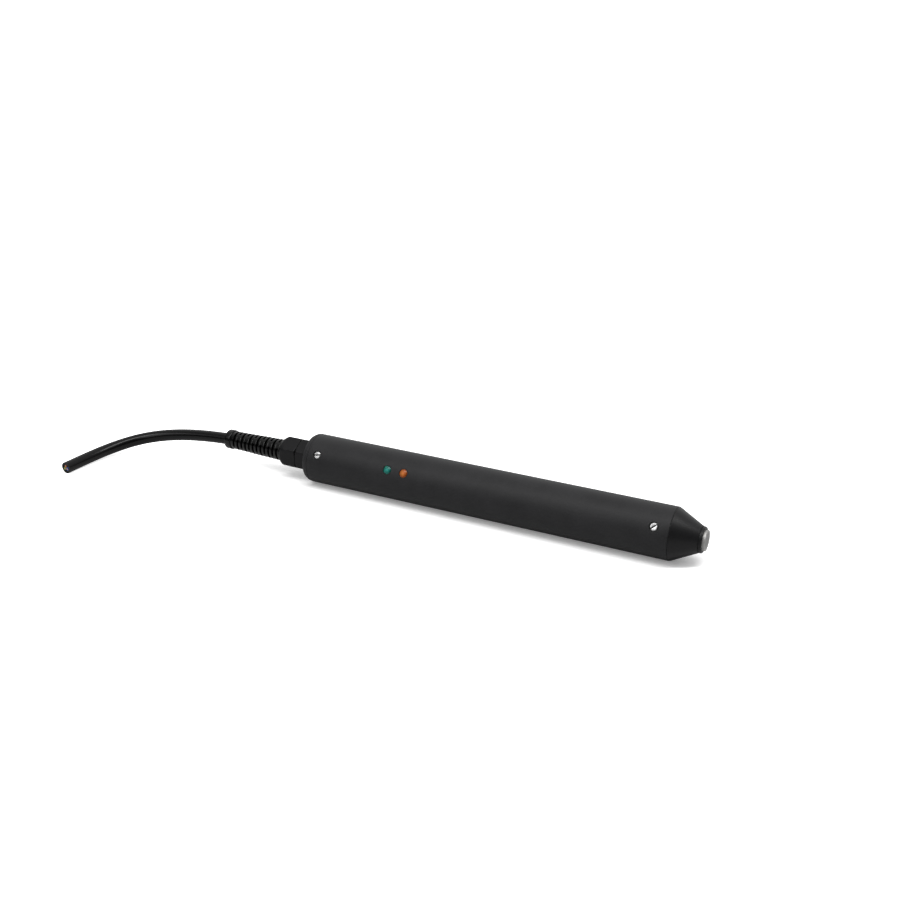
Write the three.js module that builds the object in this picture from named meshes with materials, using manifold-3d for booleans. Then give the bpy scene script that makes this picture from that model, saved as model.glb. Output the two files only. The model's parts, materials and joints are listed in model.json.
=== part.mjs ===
// A corded handpiece with a heated metal tip: a round black barrel with a tapered nose, two lamps,
// a cable gland with a flexible boot, and a round cable that is cut off where it leaves the tool.
//
// Millimetres. The origin is the centre of the flat tip face, +X points out of the nose along the
// barrel's axis, and +Z points up from the table that the tool lies on. A station is a distance
// back along the barrel from a datum that lies TIP_LEAD behind the tip face. The pieces are made with
// the datum at x = 0, and the whole tool is moved back by TIP_LEAD at the end.

import * as THREE from "three";
import { mergeVertices } from "three/addons/utils/BufferGeometryUtils.js";
import Module from "manifold-3d";

const wasm = await Module();
wasm.setup();

// ---- Driving dimensions ----

const DEGREE = Math.PI / 180;
const CLEARANCE = 0.3; // between neighbouring pieces

const BODY_RADIUS = 15;
const TIP_LEAD = 1; // from the tip face back to station 0
const BODY_LENGTH = 245.9; // station of the rear face
const WALL = 3;
const BORE_RADIUS = BODY_RADIUS - WALL;
const SPIGOT_RADIUS = BORE_RADIUS - CLEARANCE;

const NOSE_LENGTH = 16.7; // station of the seam with the barrel
const LIP_STATION = 0.5; // the nose stops here, short of the tip face
const LIP_RADIUS = 7.2;
const LAND_STATION = 2.3; // a fine groove parts the lip from the taper
const LAND_RADIUS = 7.5;
const NOSE_BORE_RADIUS = 6.1;
const NOSE_STEP_STATION = 14; // the bore widens here to take the heater's fixings
const NOSE_SOCKET_RADIUS = 8.5;
const NOSE_END_STATION = 32;

const TIP_RADIUS = 5.8;
const TIP_DISC = 2; // station of the disc's back
const TIP_SHANK_RADIUS = 3.5;
const TIP_SHANK_END = 24;

const FLANGE = 4; // the rear plug's rounded flange
const PLUG_SPIGOT = 18;
const PLUG_BORE_RADIUS = 6.2;
const SPOT_FACE = 0.2; // the gland's seat is sunk this deep in the rear face
const SPOT_FACE_RADIUS = 10.8;

const ROW_ANGLE = 33 * DEGREE; // lamps and screws stand this far above the horizontal, on the -Y side
const NOSE_SCREW_STATION = 25.2;
const REAR_SCREW_STATION = 235.2;
const NOSE_SLOT_ANGLE = 42 * DEGREE; // from the barrel's axis
const REAR_SLOT_ANGLE = 10.5 * DEGREE;
const ORANGE_LAMP_STATION = 176;
const GREEN_LAMP_STATION = 186.8;

const SCREW_HEAD_RADIUS = 2.25;
const SCREW_HEAD = 1.5;
const SCREW_SHANK_RADIUS = 1.2;
const SCREW_LENGTH = 6;
const SCREW_TOP = 14.85; // distance of the screw's face from the barrel's axis
const LAMP_RADIUS = 2.5;

const BOARD_FRONT = 134;
const BOARD_LENGTH = 84;
const BOARD_WIDTH = 20;
const BOARD_THICKNESS = 1.6;
const BOARD_TOP = 3.7; // height of the component side above the axis, towards the lamps
const PARTS_LEVEL = BOARD_TOP + 0.2;

const HEX_ACROSS_FLATS = 18;
const HEX_CORNER_RADIUS = 10.3; // the corners are rounded off at this distance from the axis
const GLAND_THREAD_RADIUS = 5.9;
const GLAND_HEX_START = 246.6;
const GLAND_HEX_END = 254;
const NUT_FRONT = 254.4;
const NUT_END = 267.2;
const NUT_BORE_RADIUS = 6.3;

const CABLE_RADIUS = 3.7;
const CABLE_INNER_END = 228; // the jacket is stripped back to here inside the plug
const BOOT_FRONT = 267.5;
const BOOT_END = 309.8;
const BOOT_RING_LENGTH = 4.4;
const BOOT_RING_RADIUS = 6.2;
const SWING_STATION = 278; // the boot bends sideways here
const LIFT_STATION = 297; // and upwards here
const JOINT_HALF_GAP = 0.3; // the rounded ends of two bending pieces each stop this far from their pivot

const CORE_RADIUS = 0.75;

const BODY_SIDES = 32; // facets round the barrel, the nose and the plug
const SMALL_SIDES = 20; // and round the pieces on the same axis that are smaller

// ---- Materials ----

const finish = (color, roughness, metalness = 0) =>
  new THREE.MeshStandardMaterial({ color, roughness, metalness });

const BLACK_PLASTIC = finish(0x2c2c2d, 0.55);
const NOSE_PLASTIC = finish(0x1f1f20, 0.5);
const GLAND_NYLON = finish(0x242425, 0.6);
const BOOT_RUBBER = finish(0x151515, 0.7);
const CABLE_JACKET = finish(0x181818, 0.55);
const NICKEL = finish(0xb4b3b0, 0.3, 1);
const STEEL = finish(0xd0d0d2, 0.25, 1);
const BRASS = finish(0xb08d45, 0.35, 1);
const CERAMIC = finish(0xe9e4d8, 0.6);
const RESISTANCE_WIRE = finish(0x77736c, 0.45, 1);
const GREEN_LENS = finish(0x1f7a6e, 0.25);
const ORANGE_LENS = finish(0xa0662f, 0.25);
const LED_EPOXY = finish(0xdfe6e2, 0.2);
const BOARD_GREEN = finish(0x1f5a37, 0.5);
const CHIP_BLACK = finish(0x1b1b1c, 0.5);
const TERMINAL_GREEN = finish(0x2f6f45, 0.5);
const CAPACITOR_SLEEVE = finish(0x1d2a4d, 0.4);
const GREY_PLASTIC = finish(0x6c6e70, 0.6);
const SEAL_RUBBER = finish(0x202020, 0.8);
const BROWN = finish(0x5a3420, 0.45);
const BLUE = finish(0x27518f, 0.45);
const GREEN_YELLOW = finish(0x7d9a2e, 0.45);
const WHITE_SLEEVE = finish(0xe6e3da, 0.8);

// ---- Solids ----

// The triangles a lathe leaves on its axis have no area, so they are dropped.
function toSolid(geometry) {
  const bare = geometry.index ? geometry.toNonIndexed() : geometry.clone();
  bare.deleteAttribute("normal");
  bare.deleteAttribute("uv");
  const merged = mergeVertices(bare, 1e-4);
  const corners = merged.index.array;
  const kept = [];
  for (let i = 0; i < corners.length; i += 3) {
    const [a, b, c] = corners.slice(i, i + 3);
    if (a !== b && b !== c && c !== a) kept.push(a, b, c);
  }
  return new wasm.Manifold(
    new wasm.Mesh({
      numProp: 3,
      vertProperties: merged.attributes.position.array,
      triVerts: new Uint32Array(kept),
    }),
  );
}

function toGeometry(solid) {
  const { vertProperties, triVerts } = solid.getMesh();
  const geometry = new THREE.BufferGeometry();
  geometry.setAttribute("position", new THREE.BufferAttribute(vertProperties, 3));
  geometry.setIndex(new THREE.BufferAttribute(triVerts, 1));
  geometry.computeVertexNormals();
  return geometry;
}

const cut = (base, ...tools) =>
  toGeometry(tools.reduce((solid, tool) => solid.subtract(toSolid(tool)), toSolid(base)));
const join = (base, ...more) =>
  toGeometry(more.reduce((solid, other) => solid.add(toSolid(other)), toSolid(base)));
const common = (a, b) => toGeometry(toSolid(a).intersect(toSolid(b)));

// A lathe about +Y from [height, radius] points, going round them so that the faces point out.
function lathe(outline, sides) {
  const twiceArea = outline.reduce((sum, [h, r], i) => {
    const [nextH, nextR] = outline[(i + 1) % outline.length];
    return sum + r * nextH - nextR * h;
  }, 0);
  const points = outline.map(([h, r]) => new THREE.Vector2(r, h));
  if (outline[0][1] > 0) points.push(points[0].clone());
  if (twiceArea < 0) points.reverse();
  return new THREE.LatheGeometry(points, sides);
}

// A solid of revolution about the barrel's axis from [station, radius] points. One facet faces down.
const turned = (outline, sides) =>
  lathe(outline, sides).rotateZ(90 * DEGREE).rotateX(180 * DEGREE / sides);

// A solid of revolution about +Z from [z, radius] points.
const turnedUp = (outline, sides) => lathe(outline, sides).rotateX(90 * DEGREE);

// A plain round bar along +Z, used for parts and as a drill.
const rod = (radius, low, high, sides = 16) =>
  turnedUp([[low, 0], [low, radius], [high, radius], [high, 0]], sides);

// A ring about the barrel's axis.
const ring = (front, end, inner, outer, sides) =>
  turned([[front, inner], [front, outer], [end, outer], [end, inner]], sides);

// A block from its lowest to its highest corner.
function block(x0, x1, y0, y1, z0, z1) {
  return new THREE.BoxGeometry(x1 - x0, y1 - y0, z1 - z0)
    .translate((x0 + x1) / 2, (y0 + y1) / 2, (z0 + z1) / 2);
}

// A hexagonal bar about the barrel's axis, with a corner at the top and two flats upright.
function hexagon(front, end, acrossFlats = HEX_ACROSS_FLATS) {
  const corner = acrossFlats / 2 / Math.cos(30 * DEGREE);
  return lathe([[front, 0], [front, corner], [end, corner], [end, 0]], 6).rotateZ(90 * DEGREE);
}

// A round bar that follows a curve.
function swept(curve, radius, steps, sides) {
  const shape = new THREE.Shape().absarc(0, 0, radius, 0, 2 * Math.PI);
  return new THREE.ExtrudeGeometry(shape, {
    steps,
    extrudePath: curve,
    curveSegments: sides / 2, // an arc is divided twice as finely as this
    bevelEnabled: false,
  });
}

// A smooth curve through [station, y, z] points.
const wirePath = (points) =>
  new THREE.CatmullRomCurve3(points.map(([s, y, z]) => new THREE.Vector3(-s, y, z)));

// The points of a quarter round from the axis out to a radius, or back again, as [station, radius].
function roundedEnd(pole, radius, backwards) {
  const centre = backwards ? pole - radius : pole + radius;
  const away = backwards ? 1 : -1;
  const steps = 4;
  const points = [];
  for (let i = 0; i <= steps; i += 1) {
    const angle = (i / steps) * 90 * DEGREE;
    points.push([centre + away * radius * Math.cos(angle), radius * Math.sin(angle)]);
  }
  return backwards ? points.reverse() : points;
}

function part(name, geometry, material) {
  const mesh = new THREE.Mesh(geometry, material);
  mesh.name = name;
  return mesh;
}

function group(...children) {
  const made = new THREE.Group();
  made.add(...children);
  return made;
}

// ---- Barrel, nose and rear plug ----

// A drill through the wall on the lamps' side, or on the far side, in the barrel's own frame.
function radial(geometry, station, farSide = false) {
  const turn = 90 * DEGREE - ROW_ANGLE + (farSide ? 180 * DEGREE : 0);
  return geometry.translate(-station, 0, 0).rotateX(turn);
}

const screwHole = () => rod(SCREW_SHANK_RADIUS + 0.25, 5, BODY_RADIUS + 1, 12);
const screwRecess = () =>
  rod(SCREW_HEAD_RADIUS + CLEARANCE, SCREW_TOP - SCREW_HEAD - 0.1, BODY_RADIUS + 1, 16);

function barrel() {
  const end = BODY_LENGTH - FLANGE - 0.1;
  const tube = ring(NOSE_LENGTH + 0.1, end, BORE_RADIUS, BODY_RADIUS, BODY_SIDES);
  const drills = [];
  for (const station of [NOSE_SCREW_STATION, REAR_SCREW_STATION]) {
    for (const farSide of [false, true]) {
      drills.push(radial(screwHole(), station, farSide));
      drills.push(radial(screwRecess(), station, farSide));
    }
  }
  for (const station of [ORANGE_LAMP_STATION, GREEN_LAMP_STATION]) {
    drills.push(radial(rod(LAMP_RADIUS + 0.15, 5, BODY_RADIUS + 1, 18), station));
  }
  return part("barrel", cut(tube, ...drills), BLACK_PLASTIC);
}

function noseCone() {
  const body = turned(
    [
      [LIP_STATION, NOSE_BORE_RADIUS],
      [LIP_STATION, LIP_RADIUS - 0.2],
      [LIP_STATION + 0.2, LIP_RADIUS],
      [LAND_STATION - 0.4, LAND_RADIUS - 0.15],
      [LAND_STATION - 0.4, LAND_RADIUS - 0.45],
      [LAND_STATION, LAND_RADIUS - 0.45],
      [LAND_STATION, LAND_RADIUS],
      [NOSE_LENGTH - 0.2, BODY_RADIUS],
      [NOSE_LENGTH - 0.1, BODY_RADIUS - 0.1],
      [NOSE_LENGTH - 0.1, SPIGOT_RADIUS],
      [NOSE_END_STATION, SPIGOT_RADIUS],
      [NOSE_END_STATION, NOSE_SOCKET_RADIUS],
      [NOSE_STEP_STATION, NOSE_SOCKET_RADIUS],
      [NOSE_STEP_STATION, NOSE_BORE_RADIUS],
    ],
    BODY_SIDES,
  );
  const holes = [false, true].map((farSide) =>
    radial(rod(SCREW_SHANK_RADIUS + 0.15, 5, BORE_RADIUS, 12), NOSE_SCREW_STATION, farSide));
  return part("nose_cone", cut(body, ...holes), NOSE_PLASTIC);
}

function rearPlug() {
  const shoulder = BODY_LENGTH - FLANGE;
  const end = BODY_LENGTH;
  const body = turned(
    [
      [shoulder - PLUG_SPIGOT, PLUG_BORE_RADIUS],
      [shoulder - PLUG_SPIGOT, SPIGOT_RADIUS],
      [shoulder, SPIGOT_RADIUS],
      [shoulder, BODY_RADIUS - 0.1],
      [shoulder + 0.1, BODY_RADIUS],
      [shoulder + 0.5, BODY_RADIUS],
      [shoulder + 2.2, BODY_RADIUS - 0.3],
      [shoulder + 3.4, BODY_RADIUS - 1],
      [end, BODY_RADIUS - 2],
      [end, SPOT_FACE_RADIUS],
      [end - SPOT_FACE, SPOT_FACE_RADIUS],
      [end - SPOT_FACE, PLUG_BORE_RADIUS],
    ],
    BODY_SIDES,
  );
  const holes = [false, true].map((farSide) =>
    radial(rod(SCREW_SHANK_RADIUS + 0.15, 7, BORE_RADIUS, 12), REAR_SCREW_STATION, farSide));
  return part("rear_plug", cut(body, ...holes), BLACK_PLASTIC);
}

// A slotted pan-head screw that stands on +Z with its face at z = 0.
function slottedScrew(name) {
  const body = turnedUp(
    [
      [-SCREW_HEAD - SCREW_LENGTH, 0],
      [-SCREW_HEAD - SCREW_LENGTH, SCREW_SHANK_RADIUS],
      [-SCREW_HEAD, SCREW_SHANK_RADIUS],
      [-SCREW_HEAD, SCREW_HEAD_RADIUS],
      [-0.35, SCREW_HEAD_RADIUS],
      [0, SCREW_HEAD_RADIUS - 0.45],
      [0, 0],
    ],
    16,
  );
  const slot = block(-3, 3, -0.35, 0.35, -0.6, 1);
  return part(name, cut(body, slot), STEEL);
}

function bodyScrew(name, station, slotAngle) {
  const screw = slottedScrew(name);
  screw.position.set(-station, 0, SCREW_TOP);
  screw.rotation.z = slotAngle;
  return screw;
}

// ---- Heated tip ----

function tip() {
  const body = turned(
    [
      [-TIP_LEAD, 0],
      [-TIP_LEAD, TIP_RADIUS - 0.2],
      [-TIP_LEAD + 0.2, TIP_RADIUS],
      [TIP_DISC, TIP_RADIUS],
      [TIP_DISC, TIP_SHANK_RADIUS],
      [TIP_SHANK_END, TIP_SHANK_RADIUS],
      [TIP_SHANK_END, 2.5],
      [6, 2.5],
      [6, 0],
    ],
    SMALL_SIDES,
  );
  return part("heated_tip", body, NICKEL);
}

function heatBush() {
  const body = turned(
    [
      [TIP_DISC + CLEARANCE, TIP_SHANK_RADIUS + 0.4],
      [TIP_DISC + CLEARANCE, NOSE_BORE_RADIUS - 0.2],
      [NOSE_STEP_STATION + CLEARANCE, NOSE_BORE_RADIUS - 0.2],
      [NOSE_STEP_STATION + CLEARANCE, NOSE_SOCKET_RADIUS - CLEARANCE],
      [17, NOSE_SOCKET_RADIUS - CLEARANCE],
      [17, TIP_SHANK_RADIUS + 0.4],
    ],
    SMALL_SIDES,
  );
  return part("heat_bush", body, CERAMIC);
}

const retainingRing = () =>
  part("retaining_ring", ring(17.3, 20.3, 7, NOSE_SOCKET_RADIUS - CLEARANCE, SMALL_SIDES), BRASS);

function tipNut() {
  const bore = turned([[16, 0], [16, 3.8], [21, 3.8], [21, 0]], 16);
  return part("tip_nut", cut(hexagon(17.3, 20.3, 11), bore), BRASS);
}

function heaterCore() {
  const body = turned(
    [[7, 0], [7, 1.5], [24.3, 1.5], [24.3, 2.3], [26, 2.3], [26, 1.5], [34, 1.5], [34, 0]],
    14,
  );
  return part("heater_core", body, CERAMIC);
}

// The resistance wire, wound on the core inside the tip's bore.
class Winding extends THREE.Curve {
  getPoint(t, target = new THREE.Vector3()) {
    const turns = 6;
    const radius = 2;
    const angle = 2 * Math.PI * turns * t;
    return target.set(-(8 + 12 * t), radius * Math.cos(angle), radius * Math.sin(angle));
  }
}

const heaterCoil = () => part("heater_coil", swept(new Winding(), 0.2, 54, 6), RESISTANCE_WIRE);

// The bead sits against the tip's shank behind its nut.
function temperatureSensor() {
  const bead = turned([...roundedEnd(21.2, 0.9, false), ...roundedEnd(24.2, 0.9, true)], 10);
  const sensor = part("temperature_sensor", bead, CERAMIC);
  sensor.position.set(0, 0, 4.7);
  return sensor;
}

// Leads run in the lamps' frame, from the heater to the front terminal block.
function lead(name, material, radius, points) {
  return part(name, swept(wirePath(points), radius, 12, 8), material);
}

const heaterLeads = () => [-1, 1].map((side) =>
  lead(side < 0 ? "heater_lead_left" : "heater_lead_right", WHITE_SLEEVE, 0.7, [
    [34.5, side * 0.8, 0],
    [60, side * 3, -2],
    [105, side * 3.2, 1],
    [132, side * 4, 6],
    [141.5, side * 4, 6.2],
  ]));

const sensorLead = () => lead("sensor_lead", BLUE, 0.5, [
  [24.8, 2.56, 3.94],
  [60, 1, 4],
  [105, 0, 4],
  [132, 0, 6],
  [141.5, 0, 6.2],
]);

// ---- Circuit board and lamps, in the lamps' frame: +Z points out of the barrel at the lamps ----

function lens(name, station, material) {
  const body = turnedUp(
    [
      [10.5, 0],
      [10.5, 3.1],
      [11.2, 3.1],
      [11.2, LAMP_RADIUS],
      [14.7, LAMP_RADIUS],
      [15.25, LAMP_RADIUS * 0.7],
      [15.5, 0],
    ],
    18,
  );
  const made = part(name, body, material);
  made.position.x = -station;
  return made;
}

function led(name, station) {
  const body = turnedUp(
    [
      [PARTS_LEVEL, 0],
      [PARTS_LEVEL, 1.9],
      [PARTS_LEVEL + 0.8, 1.9],
      [PARTS_LEVEL + 0.8, 1.5],
      [PARTS_LEVEL + 3.6, 1.5],
      [PARTS_LEVEL + 4.8, 0.9],
      [PARTS_LEVEL + 5, 0],
    ],
    12,
  );
  const made = part(name, body, LED_EPOXY);
  made.position.x = -station;
  return made;
}

const BOARD_SCREWS = [
  { name: "board_screw_front", station: 137, y: 6.6 },
  { name: "board_screw_rear", station: 215.8, y: -6.6 },
];

function circuitBoard() {
  const plate = block(
    -BOARD_FRONT - BOARD_LENGTH, -BOARD_FRONT,
    -BOARD_WIDTH / 2, BOARD_WIDTH / 2,
    BOARD_TOP - BOARD_THICKNESS, BOARD_TOP,
  );
  const holes = BOARD_SCREWS.map(({ station, y }) =>
    rod(1.2, 0, BOARD_TOP + 1, 12).translate(-station, y, 0));
  return part("circuit_board", cut(plate, ...holes), BOARD_GREEN);
}

// A gutter under the board that slides into the barrel and stops against the rear plug.
function boardCarrier() {
  const outer = BORE_RADIUS - 0.4;
  const inner = outer - 1.5;
  const rim = BOARD_TOP - BOARD_THICKNESS - CLEARANCE;
  const outerTilt = Math.asin(rim / outer);
  const innerTilt = Math.asin(rim / inner);
  const section = new THREE.Shape()
    .absarc(0, 0, outer, Math.PI - outerTilt, outerTilt, false)
    .absarc(0, 0, inner, innerTilt, Math.PI - innerTilt, true);
  const length = BODY_LENGTH - FLANGE - PLUG_SPIGOT - CLEARANCE - (BOARD_FRONT - 2);
  const gutter = new THREE.ExtrudeGeometry(section, {
    depth: length,
    curveSegments: 8,
    bevelEnabled: false,
  }).rotateY(-90 * DEGREE).rotateX(90 * DEGREE).translate(-BOARD_FRONT + 2, 0, 0);
  const posts = BOARD_SCREWS.map(({ station, y }) => rod(2.3, -7, rim, 12).translate(-station, y, 0));
  const pilots = BOARD_SCREWS.map(({ station, y }) =>
    rod(1.05, rim - 6, rim + 1, 10).translate(-station, y, 0));
  return part("board_carrier", cut(join(gutter, ...posts), ...pilots), GREY_PLASTIC);
}

function boardScrew({ name, station, y }) {
  const body = turnedUp([[-5.5, 0], [-5.5, 0.85], [0, 0.85], [0, 1.9], [1.2, 1.7], [1.2, 0]], 12);
  const slot = block(-2.5, 2.5, -0.25, 0.25, 0.7, 2);
  const screw = part(name, cut(body, slot), STEEL);
  screw.position.set(-station, y, PARTS_LEVEL);
  return screw;
}

// A three-way screw terminal with its wire entries on one end.
function terminalBlock(name, station, entriesFaceRear) {
  const depth = 7.5;
  const body = block(-depth / 2, depth / 2, -6, 6, 0, 5.1);
  const mouth = entriesFaceRear ? -1 : 1;
  const holes = [];
  for (const y of [-4, 0, 4]) {
    holes.push(rod(1, -1, 3.2, 8).rotateY(mouth * 90 * DEGREE).translate(mouth * 1.6, y, 2.4));
    holes.push(rod(1.2, 4, 6, 8).translate(-mouth * 1.4, y, 0));
  }
  const made = part(name, cut(body, ...holes), TERMINAL_GREEN);
  made.position.set(-station, 0, PARTS_LEVEL);
  return made;
}

function controllerChip() {
  const body = block(-5, 5, -2, 2, 0.15, 1.7);
  const pins = [];
  for (let i = 0; i < 4; i += 1) {
    const x = -3.81 + 2.54 * i;
    pins.push(block(x - 0.22, x + 0.22, -3.1, 3.1, 0.3, 0.6));
  }
  const chip = part("controller_chip", join(body, ...pins), CHIP_BLACK);
  chip.position.set(-165, 0, PARTS_LEVEL);
  return chip;
}

function powerTransistor() {
  const body = block(-4, 4, -5, 5, 0, 4.4);
  const tab = block(3.5, 9, -5, 5, 0, 1.3);
  const hole = rod(1.7, -1, 3, 10).translate(6.4, 0, 0);
  const made = part("power_transistor", cut(join(body, tab), hole), CHIP_BLACK);
  made.position.set(-199, 0, PARTS_LEVEL);
  return made;
}

function smoothingCapacitor() {
  const body = turnedUp([[0, 0], [0, 2.9], [6, 2.9], [6.4, 2.5], [6.4, 0]], 14);
  const made = part("smoothing_capacitor", body, CAPACITOR_SLEEVE);
  made.position.set(-154.5, 0, PARTS_LEVEL);
  return made;
}

// The cable's cores, from the stripped jacket up to the rear terminal block.
function supplyCores() {
  const kinds = [["core_brown", BROWN, -1], ["core_earth", GREEN_YELLOW, 0], ["core_blue", BLUE, 1]];
  return kinds.map(([name, material, side]) => lead(name, material, CORE_RADIUS, [
    [CABLE_INNER_END - 0.5, side * 1.9, side ? 0 : 1.2],
    [223.5, side * 2.4, 2.5],
    [218, side * 3.6, 6],
    [210.8, side * 4, 6.3],
  ]));
}

// ---- Cable gland ----

function glandBody() {
  const thread = [
    [235.2, 0],
    [235.2, GLAND_THREAD_RADIUS],
    [GLAND_HEX_START + 0.2, GLAND_THREAD_RADIUS],
    [GLAND_HEX_START + 0.2, 0],
  ];
  const nutThread = [
    [GLAND_HEX_END - 0.5, 0],
    [GLAND_HEX_END - 0.5, GLAND_THREAD_RADIUS],
    [260.4, GLAND_THREAD_RADIUS],
    [260.4, 0],
  ];
  const bore = turned(
    [[234, 0], [234, 3.8], [248, 3.8], [248, 4.8], [262, 4.8], [262, 0]],
    SMALL_SIDES,
  );
  const hex = common(
    hexagon(GLAND_HEX_START, GLAND_HEX_END),
    turned(
      [
        [GLAND_HEX_START, 0],
        [GLAND_HEX_START, HEX_CORNER_RADIUS - 0.6],
        [GLAND_HEX_START + 0.6, HEX_CORNER_RADIUS],
        [GLAND_HEX_END - 0.6, HEX_CORNER_RADIUS],
        [GLAND_HEX_END, HEX_CORNER_RADIUS - 0.6],
        [GLAND_HEX_END, 0],
      ],
      SMALL_SIDES,
    ),
  );
  const body = join(hex, turned(thread, SMALL_SIDES), turned(nutThread, SMALL_SIDES));
  return part("gland_body", cut(body, bore), GLAND_NYLON);
}

const glandORing = () =>
  part("gland_o_ring", ring(246, 246.45, 6.4, 7.4, SMALL_SIDES), SEAL_RUBBER);
const glandSeal = () =>
  part("gland_seal", ring(248.4, 259.8, CABLE_RADIUS + 0.25, 4.6, SMALL_SIDES), SEAL_RUBBER);

// A slotted ring that the nut squeezes onto the seal.
function clampClaw() {
  const slots = [];
  for (let i = 0; i < 3; i += 1) {
    slots.push(block(-264, -261.4, -0.4, 0.4, -7, 7).rotateX(i * 60 * DEGREE));
  }
  const band = ring(260.7, 263.3, 4.9, GLAND_THREAD_RADIUS, SMALL_SIDES);
  return part("clamp_claw", cut(band, ...slots), GREY_PLASTIC);
}

function glandNut() {
  const dome = turned(
    [
      [NUT_FRONT, 0],
      [NUT_FRONT, HEX_CORNER_RADIUS - 0.6],
      [NUT_FRONT + 0.6, HEX_CORNER_RADIUS],
      [262.4, HEX_CORNER_RADIUS],
      [265.3, 8.9],
      [NUT_END, 7.6],
      [NUT_END, 0],
    ],
    SMALL_SIDES,
  );
  const bore = turned(
    [[NUT_FRONT - 1, 0], [NUT_FRONT - 1, NUT_BORE_RADIUS], [265.3, NUT_BORE_RADIUS],
      [265.3, 5], [NUT_END + 1, 5], [NUT_END + 1, 0]],
    SMALL_SIDES,
  );
  return part("gland_nut", cut(common(hexagon(NUT_FRONT, NUT_END), dome), bore), GLAND_NYLON);
}

// ---- Boot and cable ----
// The boot and the cable are soft. Each is divided at its pivots into stiff lengths with rounded ends.

function bootBase() {
  const radius = 6.4;
  const body = turned(
    [
      [263.7, CABLE_RADIUS + 0.2],
      [263.7, 5.8],
      [265, 5.8],
      [265, 4.8],
      [BOOT_FRONT, 4.8],
      [BOOT_FRONT, 6.7],
      ...roundedEnd(SWING_STATION - JOINT_HALF_GAP, radius, true),
      [271, 0],
      [271, CABLE_RADIUS + 0.2],
    ],
    SMALL_SIDES,
  );
  return part("boot_base", body, BOOT_RUBBER);
}

function bootMiddle() {
  const body = turned(
    [
      ...roundedEnd(SWING_STATION + JOINT_HALF_GAP, 6.3, false),
      ...roundedEnd(LIFT_STATION - JOINT_HALF_GAP, 5.8, true),
    ],
    SMALL_SIDES,
  );
  return part("boot_middle", body, BOOT_RUBBER);
}

function bootTail() {
  const bore = CABLE_RADIUS + 0.5;
  const body = turned(
    [
      ...roundedEnd(LIFT_STATION + JOINT_HALF_GAP, 5.6, false),
      [BOOT_END - BOOT_RING_LENGTH, 5.6],
      [BOOT_END - BOOT_RING_LENGTH, BOOT_RING_RADIUS],
      [BOOT_END, BOOT_RING_RADIUS],
      [BOOT_END, bore],
      [301.2, bore],
      [301.2, 0],
    ],
    SMALL_SIDES,
  );
  return part("boot_tail", body, BOOT_RUBBER);
}

const cableInlet = () => {
  const end = 270.7;
  const body = turned(
    [[CABLE_INNER_END, 0], [CABLE_INNER_END, CABLE_RADIUS], [end, CABLE_RADIUS], [end, 0]],
    SMALL_SIDES,
  );
  return part("cable_inlet", body, CABLE_JACKET);
};

// Behind the boot the cable sinks to the table and turns towards -Y.
const CABLE_LINE = new THREE.CubicBezierCurve3(
  new THREE.Vector3(-301, 0, 0),
  new THREE.Vector3(-364.6, -1.5, -0.8),
  new THREE.Vector3(-387, -10.9, -BODY_RADIUS + CABLE_RADIUS),
  new THREE.Vector3(-390.3, -63.2, -BODY_RADIUS + CABLE_RADIUS),
);
const CURL_PLACE = 0.5; // the cable's pivot, as a share of its line
const CURL_MARGIN = (CABLE_RADIUS + JOINT_HALF_GAP) / 101; // 101 mm is the line's speed at the pivot

class Stretch extends THREE.Curve {
  constructor(line, from, to) {
    super();
    this.line = line;
    this.from = from;
    this.to = to;
  }

  getPoint(t, target = new THREE.Vector3()) {
    return this.line.getPoint(this.from + (this.to - this.from) * t, target);
  }
}

// A straight-sided core beside the cable's centre line.
class Offset extends THREE.Curve {
  constructor(line, from, angle, distance) {
    super();
    this.stretch = new Stretch(line, from, 1);
    this.angle = angle;
    this.distance = distance;
  }

  getPoint(t, target = new THREE.Vector3()) {
    this.stretch.getPoint(t, target);
    const along = this.stretch.getTangent(t);
    const across = new THREE.Vector3(0, 0, 1).cross(along).normalize();
    const up = along.cross(across);
    return target
      .addScaledVector(across, this.distance * Math.cos(this.angle))
      .addScaledVector(up, this.distance * Math.sin(this.angle));
  }
}

function ballAt(place) {
  const centre = CABLE_LINE.getPoint(place);
  return new THREE.SphereGeometry(CABLE_RADIUS, 12, 7).translate(centre.x, centre.y, centre.z);
}

function cableNear() {
  const end = CURL_PLACE - CURL_MARGIN;
  const run = swept(new Stretch(CABLE_LINE, 0.006, end), CABLE_RADIUS, 12, 14);
  return part("cable_near", join(run, ballAt(end)), CABLE_JACKET);
}

const CORES_FROM = 0.8; // the outer cable's last stretch is hollow and holds its cores

function cableFar() {
  const start = CURL_PLACE + CURL_MARGIN;
  const run = swept(new Stretch(CABLE_LINE, start, 1), CABLE_RADIUS, 12, 14);
  const beyond = CABLE_LINE.getPoint(1).addScaledVector(CABLE_LINE.getTangent(1), 1);
  const line = new THREE.CatmullRomCurve3([
    ...[CORES_FROM, 0.87, 0.94, 1].map((place) => CABLE_LINE.getPoint(place)),
    beyond,
  ]);
  const hollow = swept(line, 2.3, 10, 12);
  return part("cable_far", cut(join(run, ballAt(start)), hollow), CABLE_JACKET);
}

function outerCores() {
  const kinds = [
    ["outer_core_brown", BROWN],
    ["outer_core_earth", GREEN_YELLOW],
    ["outer_core_blue", BLUE],
  ];
  return kinds.map(([name, material], i) => {
    const line = new Offset(CABLE_LINE, CORES_FROM + 0.02, (90 + 120 * i) * DEGREE, 1.15);
    return part(name, swept(line, 0.9, 7, 8), material);
  });
}

// ---- Assembly ----

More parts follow.
